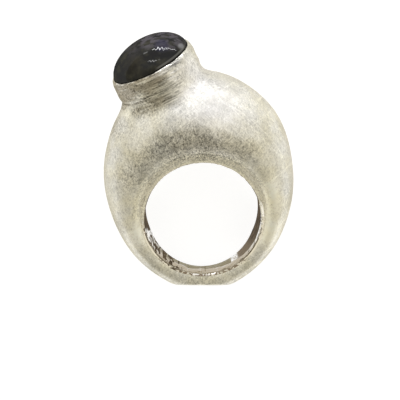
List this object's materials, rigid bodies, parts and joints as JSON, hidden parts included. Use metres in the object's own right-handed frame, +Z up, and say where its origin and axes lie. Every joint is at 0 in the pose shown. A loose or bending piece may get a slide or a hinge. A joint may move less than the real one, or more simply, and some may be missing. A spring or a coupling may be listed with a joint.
{
  "type": "gemstone ring",
  "caption": "Heavy domed finger ring in satin silver with a leaning round cup that holds a high, dark, glossy cabochon.",
  "frame": {"origin": "centre of the finger hole, at the middle of its axis", "axes": "the ring lies on its back: +Z up, +Y from the finger hole through the dome towards the stone, +X to the right when the front of the ring is seen with the stone at the top"},
  "size_m": [0.0287, 0.0379, 0.0176],
  "materials": {
    "silver": "satin, scratched in all directions, with a polished finger hole",
    "stone": "polished charcoal stone with faint purple-grey clouds"
  },
  "bodies": {
    "root": {"ring_body": "silver", "cabochon": "stone"}
  },
  "joints": []
}
